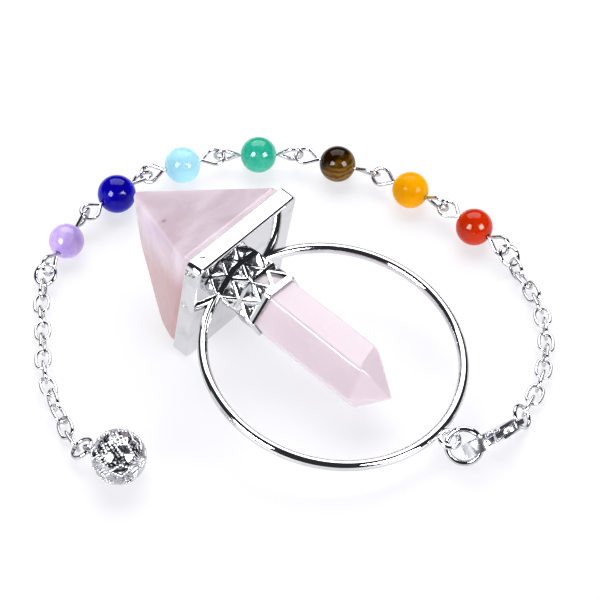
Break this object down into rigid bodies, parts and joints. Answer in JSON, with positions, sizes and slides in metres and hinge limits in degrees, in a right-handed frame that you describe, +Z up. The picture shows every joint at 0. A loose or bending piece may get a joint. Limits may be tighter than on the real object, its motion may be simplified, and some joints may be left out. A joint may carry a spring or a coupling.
{
  "type": "pendulum pendant",
  "caption": "Pendulum pendant: a pyramid stone and a pointed crystal in a silver-coloured frame with a wire hoop, on a clasp, chain and string of coloured beads ending in a pierced ball.",
  "frame": {"origin": "on the table the pendant lies on, under the middle of the whole outline", "axes": "+Z up from the table; +X along the pendant's axis in plan, from the pyramid's tip to the hoop's eye; +Y towards the string of beads"},
  "size_m": [0.0834, 0.0796, 0.0221],
  "materials": {
    "frame_silver": "mirror polished silver plating",
    "silver": "polished silver plating",
    "ball_silver": "polished silver plating, darker in its hollows",
    "rose_quartz": "polished pink stone, cloudy and slightly translucent",
    "pale_rose_quartz": "polished pale pink stone, cloudy and translucent",
    "red_stone": "polished red carnelian",
    "orange_stone": "polished orange-yellow stone",
    "brown_stone": "polished brown stone with golden bands",
    "green_stone": "polished green stone with fine specks",
    "sky_blue_stone": "polished sky blue stone",
    "royal_blue_stone": "polished royal blue stone",
    "violet_stone": "polished translucent violet stone"
  },
  "bodies": {
    "pendulum": {"pendant_frame": "frame_silver", "pyramid_stone": "rose_quartz", "crystal_point": "pale_rose_quartz", "hook_ring": "silver", "clasp_body": "silver", "clasp_ring": "silver", "clasp_chain": "silver", "bead_ring": "silver", "red_bead": "red_stone", "red_eye_pin": "silver", "orange_bead": "orange_stone", "orange_eye_pin": "silver", "brown_bead": "brown_stone", "brown_eye_pin": "silver", "green_bead": "green_stone", "green_eye_pin": "silver", "sky_blue_bead": "sky_blue_stone", "sky_blue_eye_pin": "silver", "royal_blue_bead": "royal_blue_stone", "royal_blue_eye_pin": "silver", "violet_bead": "violet_stone", "violet_eye_pin": "silver", "tail_ring": "silver", "ball_chain": "silver", "ball_ring": "silver", "finger_ball": "ball_silver"},
    "lever": {"clasp_lever": "silver"}
  },
  "joints": [
    {"name": "lever_hinge", "type": "hinge", "parent": "pendulum", "child": "lever", "pos_m": [0.0401, 0.00678, 0.00271], "axis": [0.7692, -0.2201, -0.5999], "range_deg": [0, 14], "stiffness_Nm_per_rad": 0.002, "springref_deg": -11.46}
  ]
}
